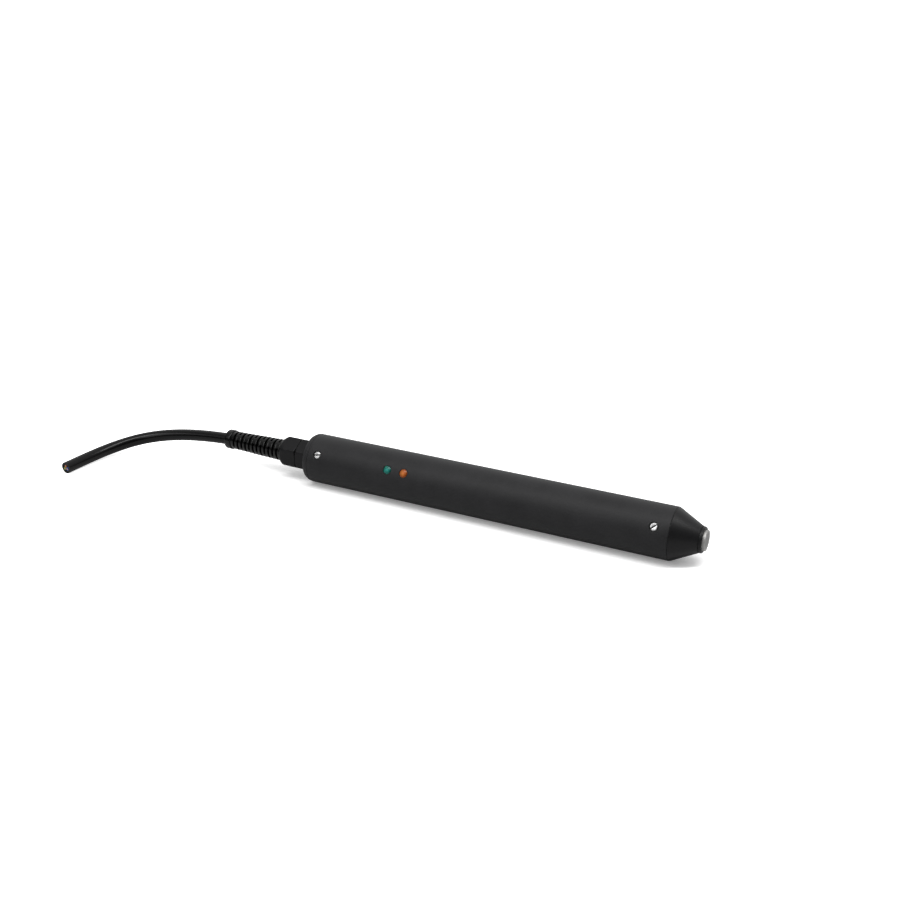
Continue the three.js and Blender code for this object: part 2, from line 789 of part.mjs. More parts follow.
const lampSide = group(
  bodyScrew("nose_screw", NOSE_SCREW_STATION, NOSE_SLOT_ANGLE),
  bodyScrew("rear_screw", REAR_SCREW_STATION, REAR_SLOT_ANGLE),
  lens("orange_lens", ORANGE_LAMP_STATION, ORANGE_LENS),
  lens("green_lens", GREEN_LAMP_STATION, GREEN_LENS),
  led("orange_led", ORANGE_LAMP_STATION),
  led("green_led", GREEN_LAMP_STATION),
  circuitBoard(),
  boardCarrier(),
  ...BOARD_SCREWS.map(boardScrew),
  terminalBlock("heater_terminal", 143, false),
  terminalBlock("supply_terminal", 209.5, true),
  controllerChip(),
  powerTransistor(),
  smoothingCapacitor(),
  ...heaterLeads(),
  sensorLead(),
  ...supplyCores(),
);
lampSide.rotation.x = 90 * DEGREE - ROW_ANGLE;

const farSide = group(
  bodyScrew("nose_screw_far", NOSE_SCREW_STATION, REAR_SLOT_ANGLE),
  bodyScrew("rear_screw_far", REAR_SCREW_STATION, NOSE_SLOT_ANGLE),
);
farSide.rotation.x = lampSide.rotation.x + 180 * DEGREE;

const heatedTip = group(
  tip(),
  heatBush(),
  retainingRing(),
  tipNut(),
  heaterCore(),
  heaterCoil(),
  temperatureSensor(),
);
const gland = group(glandBody(), glandORing(), glandSeal(), clampClaw(), glandNut());
const cable = group(
  bootBase(),
  bootMiddle(),
  bootTail(),
  cableInlet(),
  cableNear(),
  cableFar(),
  ...outerCores(),
);

const tool = group(barrel(), noseCone(), rearPlug(), lampSide, farSide, heatedTip, gland, cable);
tool.position.x = -TIP_LEAD;

export default group(tool);
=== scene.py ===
"""The looks of the corded heated-tip handpiece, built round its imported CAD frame.

Lengths in this script are millimetres and are turned to metres when a mesh is made. A station is a
distance back along the barrel, counted from TIP_LEAD behind the tip face. An angle round the
barrel's axis is counted from +Y towards +Z.
"""

import itertools
import json
import math

import bmesh
import bpy
from mathutils import Matrix, Vector


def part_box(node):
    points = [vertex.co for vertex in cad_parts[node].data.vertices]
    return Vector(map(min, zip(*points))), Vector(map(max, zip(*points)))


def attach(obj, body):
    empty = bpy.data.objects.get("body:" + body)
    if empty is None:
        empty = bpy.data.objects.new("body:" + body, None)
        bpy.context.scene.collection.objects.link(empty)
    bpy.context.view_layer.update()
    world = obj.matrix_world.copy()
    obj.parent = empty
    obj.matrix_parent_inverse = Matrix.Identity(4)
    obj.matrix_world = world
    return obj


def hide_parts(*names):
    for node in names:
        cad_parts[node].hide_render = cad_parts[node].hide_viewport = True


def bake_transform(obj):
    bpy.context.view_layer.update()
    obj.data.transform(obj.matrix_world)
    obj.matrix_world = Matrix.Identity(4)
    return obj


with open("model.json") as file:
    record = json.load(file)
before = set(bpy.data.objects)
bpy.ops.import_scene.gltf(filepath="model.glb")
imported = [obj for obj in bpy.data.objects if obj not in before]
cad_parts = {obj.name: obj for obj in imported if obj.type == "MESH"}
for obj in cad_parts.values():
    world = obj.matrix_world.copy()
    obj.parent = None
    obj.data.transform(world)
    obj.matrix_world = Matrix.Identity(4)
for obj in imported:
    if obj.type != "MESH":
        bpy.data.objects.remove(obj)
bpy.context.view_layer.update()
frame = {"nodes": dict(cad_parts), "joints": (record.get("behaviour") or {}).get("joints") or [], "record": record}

MM = 0.001
SAME_POINT = 2e-7  # corners closer than this, in metres, are one corner
UP = Vector((0, 0, 1))
TIP_LEAD = 1  # from the tip face back to station 0


# ---- Sizes read from the frame ----

def span(node):
    """The front and end stations of a CAD node."""
    low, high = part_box(node)
    return -high.x / MM - TIP_LEAD, -low.x / MM - TIP_LEAD


def reach(node):
    """How far a CAD node's corners stand from the barrel's axis."""
    corners = frame["nodes"][node].data.vertices
    return max(math.hypot(v.co.y, v.co.z) for v in corners) / MM


def joint_station(name):
    """The station of a joint's pivot."""
    joint = next(j for j in frame["joints"] if j["name"] == name)
    return -joint["pos_m"][0] / MM - TIP_LEAD


BODY_RADIUS = reach("barrel")
FLOOR_LEVEL = -BODY_RADIUS
BARREL_FRONT, BARREL_END = span("barrel")
REAR_FACE = span("rear_plug")[1]
SPOT_FACE_RADIUS = 10.8  # the round seat on the rear face that the gland is screwed down on
GLAND_HEX_END = 254
NUT_FRONT, NUT_END = span("gland_nut")
BOOT_END = span("boot_tail")[1]
SWING_STATION = joint_station("boot_swing")
LIFT_STATION = joint_station("boot_lift")
BOOT_SEAM = (SWING_STATION + LIFT_STATION) / 2

LAMP_ANGLE = math.radians(180 - 33)  # lamps and screws stand 33 degrees above the horizontal
FAR_ANGLE = LAMP_ANGLE + math.pi
NOSE_SCREW_STATION = sum(span("nose_screw")) / 2
REAR_SCREW_STATION = sum(span("rear_screw")) / 2
ORANGE_STATION = sum(span("orange_lens")) / 2
GREEN_STATION = sum(span("green_lens")) / 2
SCREW_HEAD_RADIUS = 2.25
SCREW_TOP = BODY_RADIUS - 0.15
RECESS_RADIUS = SCREW_HEAD_RADIUS + 0.3
RECESS_FLOOR = SCREW_TOP - 1.6
LAMP_RADIUS = 2.5
LAMP_TOP = BODY_RADIUS + 0.5
CABLE_RADIUS = reach("cable_inlet")


# ---- Mesh helpers ----

def make_object(name, points, faces, sharp_degrees=35):
    """An object from points in millimetres, smooth except where faces meet at more than an angle."""
    mesh = bpy.data.meshes.new(name)
    mesh.from_pydata([Vector(p) * MM for p in points], [], faces)
    made = bpy.data.objects.new(name, mesh)
    bpy.context.scene.collection.objects.link(made)
    tidy_mesh(mesh, sharp_degrees)
    return made


def tidy_mesh(mesh, sharp_degrees=35):
    """Joins shared corners, turns the faces outwards and marks the sharp edges."""
    work = bmesh.new()
    work.from_mesh(mesh)
    bmesh.ops.remove_doubles(work, verts=work.verts, dist=SAME_POINT)
    bmesh.ops.recalc_face_normals(work, faces=work.faces)
    work.to_mesh(mesh)
    work.free()
    mesh.shade_smooth()
    mesh.set_sharp_from_angle(angle=math.radians(sharp_degrees))


def around(sides):
    """Evenly spaced angles once round."""
    return [2 * math.pi * j / sides for j in range(sides)]


def loft(name, rows, cap_ends=False, sharp_degrees=35):
    """A skin over closed rows of points that all hold the same number."""
    count = len(rows[0])
    points = [p for row in rows for p in row]
    faces = []
    for i in range(len(rows) - 1):
        for j in range(count):
            k = (j + 1) % count
            faces.append((i * count + j, i * count + k, (i + 1) * count + k, (i + 1) * count + j))
    if cap_ends:
        faces.append(tuple(range(count)))
        faces.append(tuple(reversed(range(len(points) - count, len(points)))))
    return make_object(name, points, faces, sharp_degrees)


def at(station):
    """The point of the barrel's axis at a station."""
    return Vector((-station - TIP_LEAD, 0, 0))


def on_axis(station, radius, angle):
    """A point at a radius and an angle round the barrel's axis."""
    return at(station) + Vector((0, radius * math.cos(angle), radius * math.sin(angle)))


def rounded(outline):
    """The (station, radius, rounding) corners of a closed outline, each rounded off as a curve."""
    steps = 4
    most = 0.49  # a rounding takes less than half of a side
    made = []
    for i, (station, radius, rounding) in enumerate(outline):
        corner = Vector((station, radius))
        if not rounding:
            made.append((station, radius))
            continue
        before = Vector(outline[i - 1][:2]) - corner
        after = Vector(outline[(i + 1) % len(outline)][:2]) - corner
        back_off = rounding / math.tan(before.angle(after) / 2)
        start = corner + before.normalized() * min(back_off, before.length * most)
        end = corner + after.normalized() * min(back_off, after.length * most)
        for t in evenly(0, 1, steps + 1):
            point = start * (1 - t) ** 2 + corner * 2 * t * (1 - t) + end * t ** 2
            made.append((point.x, point.y))
    return made


def turned(name, outline, sides=96, sharp_degrees=35):
    """A solid of revolution about the barrel's axis from a closed outline."""
    profile = rounded(outline)
    profile.append(profile[0])
    rows = [[on_axis(s, r, a) for a in around(sides)] for s, r in profile]
    return loft(name, rows, sharp_degrees=sharp_degrees)


def turned_up(name, outline):
    """A solid of revolution about its own +Z from (height, radius, rounding) corners."""
    lying = [(-height - TIP_LEAD, radius, rounding) for height, radius, rounding in outline]
    made = turned(name, lying, sides=64)
    made.data.transform(Matrix.Rotation(math.radians(-90), 4, "Y"))
    return made


def swept(name, line, radius, sides):
    """A round bar along a list of points, closed at both ends."""
    rows = []
    side = UP.cross(line[1] - line[0]).normalized()
    for i, centre in enumerate(line):
        along = (line[min(i + 1, len(line) - 1)] - line[max(i - 1, 0)]).normalized()
        side = (side - along * side.dot(along)).normalized()
        lift = along.cross(side)
        rows.append([centre + (side * math.cos(a) + lift * math.sin(a)) * radius for a in around(sides)])
    return loft(name, rows, cap_ends=True)


def evenly(start, end, count):
    """So many numbers from a start to an end."""
    return [start + (end - start) * i / (count - 1) for i in range(count)]


def quarter_round(size, steps):
    """A rounded edge as pairs: the distance back from its face, and the drop below its side."""
    turns = [math.radians(90 / steps * i) for i in range(steps + 1)]
    return [(size * (1 - math.sin(a)), size * (1 - math.cos(a))) for a in turns]


def smooth_step(low, high, value):
    """Rises from 0 to 1 between low and high, without a corner at either."""
    share = min(max((value - low) / (high - low), 0), 1)
    return share * share * (3 - 2 * share)


def soft_minimum(a, b, softness):
    """The lesser of two numbers, with the change from one to the other rounded off."""
    share = min(max(0.5 + 0.5 * (b - a) / softness, 0), 1)
    return b * (1 - share) + a * share - softness * share * (1 - share)


def along_profile(points, station):
    """The radius at a station on a line through (station, radius) points."""
    for (s0, r0), (s1, r1) in zip(points, points[1:]):
        if station <= s1:
            return r0 + (r1 - r0) * max(station - s0, 0) / (s1 - s0)
    return points[-1][1]


def carve(made, tool, edge):
    """Cuts a tool out of an object, then breaks the new edges."""
    cut = made.modifiers.new("cut", "BOOLEAN")
    cut.operation = "DIFFERENCE"
    cut.object = tool
    bevel = made.modifiers.new("edges", "BEVEL")
    bevel.width = edge * MM
    bevel.segments = 2
    bevel.limit_method = "ANGLE"
    bevel.angle_limit = math.radians(40)
    evaluated = made.evaluated_get(bpy.context.evaluated_depsgraph_get())
    mesh = bpy.data.meshes.new_from_object(evaluated)
    made.modifiers.clear()
    made.data = mesh
    bpy.data.objects.remove(tool)
    tidy_mesh(made.data)
    return made


def block(name, low, high):
    """A box between two corners."""
    corners = list(itertools.product(*zip(low, high)))
    faces = [(0, 1, 3, 2), (4, 6, 7, 5), (0, 4, 5, 1), (2, 3, 7, 6), (0, 2, 6, 4), (1, 5, 7, 3)]
    return make_object(name, corners, faces)


# ---- Material helpers ----

def linear(red, green, blue):
    """A colour from 0 to 255 screen values."""
    def one(value):
        share = value / 255
        return share / 12.92 if share <= 0.04045 else ((share + 0.055) / 1.055) ** 2.4
    return (one(red), one(green), one(blue), 1)


class Nodes:
    """A node tree, with its nodes made and joined by short calls."""

    def __init__(self, tree):
        self.tree = tree

    def node(self, kind, inputs=None, **settings):
        """Makes a node and gives it its settings and its inputs."""
        made = self.tree.nodes.new(kind)
        for key, value in settings.items():
            setattr(made, key, value)
        for key, value in (inputs or {}).items():
            self.put(made.inputs[key], value)
        return made

    def put(self, socket, value):
        """Gives an input a plain value, or joins it to another node's output."""
        if isinstance(value, bpy.types.NodeSocket):
            self.tree.links.new(value, socket)
        else:
            socket.default_value = value

    def math(self, operation, a, b=0.0, c=0.0):
        """The result of one operation on up to three numbers."""
        made = self.node("ShaderNodeMath", {0: a, 1: b, 2: c}, operation=operation)
        return made.outputs[0]

    def smooth_range(self, value, limits, levels):
        """Goes smoothly from one level to the other as a value passes between its limits."""
        made = self.node(
            "ShaderNodeMapRange",
            {"Value": value, "From Min": limits[0], "From Max": limits[1], "To Min": levels[0],
             "To Max": levels[1]},
            interpolation_type="SMOOTHSTEP",
        )
        return made.outputs["Result"]


class Shader(Nodes):
    """The nodes of a new material, whose surface is one principled shader."""

    def __init__(self, name):
        self.material = bpy.data.materials.new(name)
        self.material.use_nodes = True
        super().__init__(self.material.node_tree)
        self.surface = self.tree.nodes["Principled BSDF"]
        self.place = self.node("ShaderNodeTexCoord").outputs["Object"]

    def set(self, **inputs):
        """Sets the surface's inputs by name, with _ for each space."""
        for key, value in inputs.items():
            self.put(self.surface.inputs[key.replace("_", " ")], value)

    def noise(self, size, detail=3, stretch=(1, 1, 1)):
        """Noise whose grains are about size millimetres."""
        scale = [s / (size * MM) for s in stretch]
        mapped = self.node("ShaderNodeMapping", {"Vector": self.place, "Scale": scale})
        made = self.node(
            "ShaderNodeTexNoise", {"Vector": mapped.outputs[0], "Scale": 1, "Detail": detail}
        )
        return made.outputs["Fac"]

    def ramp(self, value, stops):
        """A colour ramp from (place, colour) stops."""
        made = self.node("ShaderNodeValToRGB", {"Fac": value})
        elements = made.color_ramp.elements
        for element, (place, colour) in zip(elements, (stops[0], stops[-1])):
            element.position = place
            element.color = colour
        for place, colour in stops[1:-1]:
            elements.new(place).color = colour
        return made.outputs["Color"]

    def radius(self, first, second):
        """The distance from an object's own axis, from the two coordinates across it."""
        parts = self.node("ShaderNodeSeparateXYZ", {"Vector": self.place})
        squares = [self.math("POWER", parts.outputs[axis], 2.0) for axis in (first, second)]
        return self.math("SQRT", self.math("ADD", *squares))

    def waves(self, distance, pitch):
        """A sine over a distance in metres, with one wave for each pitch in millimetres."""
        return self.math("SINE", self.math("MULTIPLY", distance, 2 * math.pi / (pitch * MM)))

    def spread(self, value, low, high):
        """Maps 0 to 1 onto low to high."""
        made = self.node("ShaderNodeMapRange", {"Value": value, "To Min": low, "To Max": high})
        return made.outputs["Result"]

    def mix(self, share, a, b):
        """A colour between a and b; sockets 6, 7 and 2 are the mix node's colour sockets."""
        made = self.node("ShaderNodeMix", {"Factor": share, 6: a, 7: b}, data_type="RGBA")
        return made.outputs[2]

    def bump(self, height, depth, under=None):
        """Raises the surface by height times depth millimetres."""
        made = self.node("ShaderNodeBump", {"Height": height, "Distance": depth * MM, "Strength": 1})
        if under is not None:
            self.put(made.inputs["Normal"], under)
        return made.outputs["Normal"]


def moulded(name, colour, roughness, grain, depth, variation=0.18, specular=0.5):
    """Plastic or rubber from a mould: a fine grain, cloudy colour and uneven sheen."""
    shader = Shader(name)
    dark = [c * (1 - variation) for c in colour[:3]] + [1]
    light = [c * (1 + variation) for c in colour[:3]] + [1]
    clouds = shader.noise(14, detail=4)
    speckle = shader.noise(grain * 2.2, detail=2)
    tone = shader.math("MULTIPLY_ADD", speckle, 0.4, shader.math("MULTIPLY", clouds, 0.6))
    fine = shader.noise(grain, detail=2)
    ripples = shader.noise(9, detail=2)
    shader.set(
        Base_Color=shader.ramp(tone, [(0.35, dark), (0.65, light)]),
        Roughness=shader.spread(clouds, roughness - 0.06, roughness + 0.06),
        Specular_IOR_Level=specular,
        Normal=shader.bump(fine, depth, under=shader.bump(ripples, depth * 1.6)),
    )
    return shader


def body_black():
    return moulded("body_black", linear(33, 33, 34), 0.5, grain=0.3, depth=0.010, specular=0.12).material


def nose_black():
    return moulded("nose_black", linear(14, 14, 15), 0.42, grain=0.22, depth=0.006, specular=0.17).material


def gland_black():
    return moulded("gland_black", linear(8, 8, 9), 0.4, grain=0.45, depth=0.010, specular=0.15).material


def boot_black():
    return moulded("boot_black", linear(2, 2, 2), 0.24, grain=0.4, depth=0.006, specular=0.23).material


def seal_black():
    return moulded("seal_black", linear(14, 14, 14), 0.7, grain=0.3, depth=0.02).material


def cable_black():
    return moulded("cable_black", linear(1.5, 1.5, 2), 0.24, grain=0.3, depth=0.005, specular=0.18).material


def grey_moulding():
    return moulded("grey_moulding", linear(112, 114, 116), 0.6, grain=0.5, depth=0.01).material


def chip_black():
    return moulded("chip_epoxy", linear(24, 24, 25), 0.62, grain=0.08, depth=0.012).material


def terminal_green():
    return moulded("terminal_green", linear(44, 112, 70), 0.5, grain=0.2, depth=0.004).material


def metal(name, colour, roughness, brush):
    """Bare metal with marks that run the way of the brush, and clouded reflections."""
    shader = Shader(name)
    marks = shader.noise(0.35, detail=4, stretch=brush)
    clouds = shader.noise(3, detail=3)
    dull = [c * 0.82 for c in colour[:3]] + [1]
    shader.set(
        Base_Color=shader.ramp(marks, [(0.3, dull), (0.7, colour)]),
        Metallic=1.0,
        Roughness=shader.spread(clouds, roughness - 0.08, roughness + 0.10),
        Normal=shader.bump(marks, 0.004),
    )
    return shader


def steel():
    """Bright plated steel, with painted shade that darkens its colour inside the screws' slots and recesses."""
    bright = linear(176, 176, 176)
    shader = metal("screw_steel", bright, 0.36, brush=(0.15, 1, 1))
    # painted shade: ambient occlusion blends the colour toward near-black linear(12, 12, 12) where the surface is
    # hemmed in
    slot_shade_probe = shader.node("ShaderNodeAmbientOcclusion", {"Distance": 0.9 * MM}, samples=8)
    unshaded_share = shader.math("POWER", slot_shade_probe.outputs["AO"], 4.0)
    shader.set(Base_Color=shader.mix(unshaded_share, linear(12, 12, 12), bright))
    return shader.material


def brass():
    return metal("brass_turned", linear(190, 152, 84), 0.32, brush=(1, 0.2, 0.2)).material


def winding_wire():
    return metal("winding_wire", linear(128, 122, 112), 0.45, brush=(0.2, 1, 1)).material


def copper():
    return metal("copper_strands", linear(196, 118, 78), 0.35, brush=(1, 0.1, 1)).material


def turned_nickel():
    """The tip's face, with the fine rings that a lathe tool leaves, random stains, and a colour that gets lighter
    towards its rim.
    """
    shader = Shader("turned_nickel")
    radius = shader.radius("Y", "Z")
    rings = shader.waves(radius, 0.16)
    stain = shader.noise(2.4, detail=5)
    scuffs = shader.noise(0.5, detail=4, stretch=(1, 0.25, 1))
    share = shader.math("MULTIPLY", radius, 1 / (6 * MM))
    tone = shader.math("MULTIPLY_ADD", stain, 0.35, shader.math("MULTIPLY", share, 0.55))
    shader.set(
        Base_Color=shader.ramp(tone, [(0.42, linear(116, 115, 114)), (0.72, linear(150, 149, 147))]),
        Metallic=1.0,
        Roughness=shader.spread(scuffs, 0.5, 0.64),
        Normal=shader.bump(rings, 0.0025, under=shader.bump(scuffs, 0.004)),
    )
    return shader.material


def ceramic():
    return moulded("fired_ceramic", linear(226, 220, 206), 0.62, grain=0.18, depth=0.012).material


def lens(name, deep, bright):
    """A clear coloured cap: lighter in its middle, over a faint pattern of lens ribs."""
    shader = Shader(name)
    share = shader.math("MULTIPLY", shader.radius("X", "Y"), 1 / (LAMP_RADIUS * MM))
    clouds = shader.noise(0.9, detail=2)
    tone = shader.math("MULTIPLY_ADD", clouds, 0.25, share)
    across = shader.node("ShaderNodeSeparateXYZ", {"Vector": shader.place}).outputs["X"]
    ribs = shader.waves(across, 0.9)
    shader.set(
        Base_Color=shader.ramp(tone, [(0.25, bright), (1.0, deep)]),
        Roughness=shader.spread(clouds, 0.25, 0.38),
        Specular_IOR_Level=0.2,
        Coat_Weight=0.1,
        Coat_Roughness=0.12,
        Subsurface_Weight=0.35,
        Subsurface_Scale=1.2 * MM,
        Normal=shader.bump(ribs, 0.03),
    )
    return shader.material


def green_lens():
    return lens("green_lens", linear(2, 68, 62), linear(8, 116, 104))


def orange_lens():
    return lens("orange_lens", linear(118, 54, 12), linear(166, 96, 34))


def led_epoxy():
    shader = moulded("led_epoxy", linear(214, 222, 218), 0.14, grain=1.2, depth=0.004)
    shader.set(Transmission_Weight=0.55, Coat_Weight=0.4)
    return shader.material


def board_laminate():
    """Green lacquer that stands up over the board's copper tracks."""
    shader = Shader("board_laminate")
    mapped = shader.node("ShaderNodeMapping", {"Vector": shader.place, "Scale": [1 / MM] * 3})
    tracks = shader.node(
        "ShaderNodeTexBrick",
        {"Vector": mapped.outputs[0], "Scale": 0.35, "Mortar Size": 0.06, "Brick Width": 1.6,
         "Row Height": 0.5},
    )
    weave = shader.noise(0.7, detail=2, stretch=(1, 0.3, 1))
    green = shader.ramp(weave, [(0.3, linear(22, 78, 46)), (0.7, linear(34, 98, 60))])
    shader.set(
        Base_Color=shader.mix(tracks.outputs["Fac"], green, linear(60, 132, 74)),
        Roughness=shader.spread(weave, 0.3, 0.45),
        Normal=shader.bump(tracks.outputs["Fac"], 0.035),
    )
    return shader.material


def capacitor_sleeve():
    shader = moulded("capacitor_sleeve", linear(30, 42, 78), 0.3, grain=1.5, depth=0.004)
    shader.set(Coat_Weight=0.3)
    return shader.material


def insulation(name, colour):
    return moulded(name, colour, 0.38, grain=0.5, depth=0.006, variation=0.1).material


def striped_insulation():
    """Green insulation with a yellow stripe wound along it."""
    shader = moulded("earth_insulation", linear(94, 140, 48), 0.38, grain=0.5, depth=0.006)
    wave = shader.node(
        "ShaderNodeTexWave", {"Vector": shader.place, "Scale": 90}, bands_direction="DIAGONAL"
    )
    green = linear(64, 120, 52)
    yellow = linear(206, 190, 48)
    stripe = shader.ramp(wave.outputs["Fac"], [(0.48, green), (0.52, yellow)])
    shader.set(Base_Color=stripe)
    return shader.material


def woven_sleeve():
    """Braided glass sleeving."""
    shader = Shader("woven_sleeve")
    bands = []
    for direction in (1, -1):
        turn = math.radians(45 * direction)
        mapped = shader.node("ShaderNodeMapping", {"Vector": shader.place, "Rotation": (0, 0, turn)})
        wave = shader.node("ShaderNodeTexWave", {"Vector": mapped.outputs[0], "Scale": 600})
        bands.append(wave.outputs["Fac"])
    weave = shader.math("MAXIMUM", bands[0], bands[1])
    shader.set(
        Base_Color=shader.ramp(weave, [(0.2, linear(176, 170, 156)), (0.8, linear(232, 228, 216))]),
        Roughness=0.85,
        Normal=shader.bump(weave, 0.06),
    )
    return shader.material


MATERIALS = {
    "black_plastic": body_black(),
    "nose_plastic": nose_black(),
    "gland_nylon": gland_black(),
    "boot_rubber": boot_black(),
    "cable_jacket": cable_black(),
    "seal_rubber": seal_black(),
    "nickel": turned_nickel(),
    "steel": steel(),
    "brass": brass(),
    "resistance_wire": winding_wire(),
    "ceramic": ceramic(),
    "green_lens": green_lens(),
    "orange_lens": orange_lens(),
    "led_epoxy": led_epoxy(),
    "board_green": board_laminate(),
    "chip_black": chip_black(),
    "terminal_green": terminal_green(),
    "capacitor_sleeve": capacitor_sleeve(),
    "grey_plastic": grey_moulding(),
    "brown_insulation": insulation("brown_insulation", linear(96, 56, 34)),
    "blue_insulation": insulation("blue_insulation", linear(42, 84, 148)),
    "green_yellow_insulation": striped_insulation(),
    "white_sleeve": woven_sleeve(),
}
COPPER = copper()


def finish_as(made, slot):
    """Gives a piece the material of the record's slot that it belongs to."""
    made.data.materials.clear()
    made.data.materials.append(MATERIALS[slot])
    return made


def stand_for(made, slot, body, *nodes):
    """A piece with its material that rides on one body in place of CAD nodes."""
    finish_as(made, slot)
    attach(made, body)
    if nodes:
        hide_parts(*nodes)
    return made


# ---- Barrel ----

SIDES = 144
CELL = 2 * math.pi / SIDES  # one column of the barrel's grid
HALF_PATCH = 6  # a hole's square patch is this many cells from its centre to its side
CELL_LENGTH = BODY_RADIUS * CELL
HOLE_EDGE = 0.16  # rounding of a hole's edge
HOLE_FILLET = 0.12  # slope between a hole's wall and its floor
SCREW_BORE = 1.45  # the hole that a screw's shank passes, in its recess's floor
INNER_DEPTH = 1  # how far that hole is modelled
LAMP_HOLE_FLOOR = 12.4  # its height above the barrel's axis
BARREL_WALL = 3
BARREL_LIP_DEPTH = 12  # how far the inner wall is modelled from each end


def hole_rings(radius, floor, inner):
    """A hole's rings as (distance from the hole's axis, drop below the skin, height of a floor)."""
    rings = [(radius + out, drop, None) for out, drop in quarter_round(HOLE_EDGE, 3)]
    rings += [(radius, None, floor + HOLE_FILLET), (radius - HOLE_FILLET, None, floor)]
    if inner:
        rings += [(inner, None, floor), (inner, None, floor - INNER_DEPTH)]
    return rings


class Tube:
    """The barrel's outer skin as a grid of columns and rows, with holes in square patches of it."""

    def __init__(self, stations):
        self.stations = stations
        self.points = []
        self.faces = []
        for station in stations:
            for column in range(SIDES):
                self.points.append(on_axis(station, BODY_RADIUS, LAMP_ANGLE + CELL * column))

    def corner(self, row, column):
        """The number of a grid point."""
        return row * SIDES + column % SIDES

    def row_of(self, station):
        """The grid row nearest to a station."""
        return min(range(len(self.stations)), key=lambda i: abs(self.stations[i] - station))

    def skin(self, patches):
        """Fills the grid, except inside each patch's square of cells."""
        left_out = set()
        for row, column in patches:
            for i in range(row - HALF_PATCH, row + HALF_PATCH):
                for j in range(column - HALF_PATCH, column + HALF_PATCH):
                    left_out.add((i, j % SIDES))
        for i in range(len(self.stations) - 1):
            for j in range(SIDES):
                if (i, j) not in left_out:
                    cell = ((i, j), (i, j + 1), (i + 1, j + 1), (i + 1, j))
                    self.faces.append(tuple(self.corner(*place) for place in cell))

    def border(self):
        """The corners round a patch, in order, as (row, column) steps from its centre."""
        n = HALF_PATCH
        steps = [(-n, k) for k in range(-n, n)]
        steps += [(k, n) for k in range(-n, n)]
        steps += [(n, -k) for k in range(-n, n)]
        steps += [(-k, -n) for k in range(-n, n)]
        return steps

    def drill(self, station, column, rings):
        """Joins a patch's border to a round hole and its walls."""
        row = self.row_of(station)
        angle = LAMP_ANGLE + CELL * column
        outward = Vector((0, math.cos(angle), math.sin(angle)))
        sideways = Vector((0, -math.sin(angle), math.cos(angle)))
        steps = self.border()
        loop = [self.corner(row + i, column + j) for i, j in steps]
        square = [(i * CELL_LENGTH, BODY_RADIUS * math.sin(j * CELL)) for i, j in steps]
        turns = [math.radians(225) - 2 * math.pi * k / len(steps) for k in range(len(steps))]

        def add_ring(places):
            nonlocal loop
            first = len(self.points)
            for along, aside, height in places:
                self.points.append(at(station + along) + outward * height + sideways * aside)
            fresh = list(range(first, first + len(places)))
            for k in range(len(fresh)):
                n = (k + 1) % len(fresh)
                self.faces.append((loop[k], loop[n], fresh[n], fresh[k]))
            loop = fresh

        edge = rings[0][0]
        for share in (0.3, 0.6, 0.85):
            places = []
            for (along, aside), turn in zip(square, turns):
                along += (edge * math.cos(turn) - along) * share
                aside += (edge * math.sin(turn) - aside) * share
                places.append((along, aside, math.sqrt(BODY_RADIUS ** 2 - aside ** 2)))
            add_ring(places)
        for radius, drop, floor in rings:
            places = []
            for turn in turns:
                aside = radius * math.sin(turn)
                skin = math.sqrt(BODY_RADIUS ** 2 - aside ** 2)
                places.append((radius * math.cos(turn), aside, floor if drop is None else skin - drop))
            add_ring(places)


def barrel():
    """The barrel's drilled outer skin, joined to the rounded lips of its two ends."""
    near, far = 0, SIDES // 2  # columns of the lamps' side and of the other side
    recess = hole_rings(RECESS_RADIUS, RECESS_FLOOR, SCREW_BORE)
    lamp_hole = hole_rings(LAMP_RADIUS + 0.15, LAMP_HOLE_FLOOR, None)
    drilled = [
        (NOSE_SCREW_STATION, near, recess),
        (NOSE_SCREW_STATION, far, recess),
        (ORANGE_STATION, near, lamp_hole),
        (GREEN_STATION, near, lamp_hole),
        (REAR_SCREW_STATION, near, recess),
        (REAR_SCREW_STATION, far, recess),
    ]
    edge = 0.2  # rounding of the barrel's two ends
    stations = {BARREL_FRONT + edge, BARREL_END - edge}
    for station, _, _ in drilled:
        stations.update(round(station + CELL_LENGTH * k, 6) for k in range(-HALF_PATCH, HALF_PATCH + 1))
    stations.update(evenly(34, 168, 13))  # more rows where the barrel is plain
    stations.update(evenly(195, 226, 4))
    tube = Tube(sorted(stations))
    tube.skin([(tube.row_of(station), column) for station, column, _ in drilled])
    for station, column, rings in drilled:
        tube.drill(station, column, rings)
    made = make_object("barrel_skin", tube.points, tube.faces)

    wall = BODY_RADIUS - BARREL_WALL
    turns = [LAMP_ANGLE + CELL * j for j in range(SIDES)]
    lips = []
    for end, inward in ((BARREL_FRONT, 1), (BARREL_END, -1)):
        rows = [(end + inward * back, BODY_RADIUS - drop) for back, drop in quarter_round(edge, 3)]
        rows += [(end, wall), (end + inward * BARREL_LIP_DEPTH, wall)]
        lips.append(loft("barrel_lip", [[on_axis(s, r, a) for a in turns] for s, r in rows]))
    return merged("barrel_shell", made, *lips)


def merged(name, base, *others):
    """One object from several, with shared corners joined."""
    work = bmesh.new()
    for made in (base, *others):
        work.from_mesh(made.data)
    work.to_mesh(base.data)
    work.free()
    for made in others:
        bpy.data.objects.remove(made)
    base.name = name
    tidy_mesh(base.data)
    return base


stand_for(barrel(), "black_plastic", "handpiece", "barrel")


# ---- Nose, plug and tip ----

